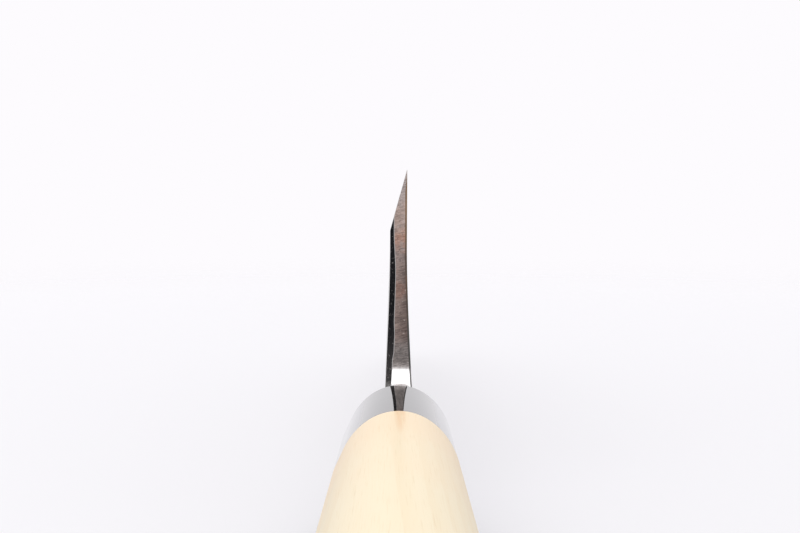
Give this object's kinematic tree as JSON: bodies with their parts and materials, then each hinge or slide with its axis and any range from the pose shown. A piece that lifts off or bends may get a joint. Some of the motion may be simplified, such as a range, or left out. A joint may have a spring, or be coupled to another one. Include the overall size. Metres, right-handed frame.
{
  "type": "deba knife",
  "caption": "Thick single-bevel Japanese fish knife with a hollow-ground flat side, exposed neck, glossy black ferrule and smooth oval ho-wood handle.",
  "frame": {"origin": "centre of the handle's flat butt face, on the handle's axis", "axes": "+Y along the handle towards the tip, +Z towards the cutting edge, +X towards the flat hollow-ground side (ura), so the bevel faces -X"},
  "size_m": [0.0236, 0.3245, 0.0645],
  "materials": {
    "soft_iron": "fine ground lines, polished chamfers",
    "hard_steel": "honed, brighter than the body",
    "black_resin": "polished like horn",
    "ho_wood": "sanded smooth, unlacquered"
  },
  "bodies": {
    "root": {"blade_body": "soft_iron", "cutting_layer": "hard_steel", "ferrule": "black_resin", "wood_handle": "ho_wood"}
  },
  "joints": []
}
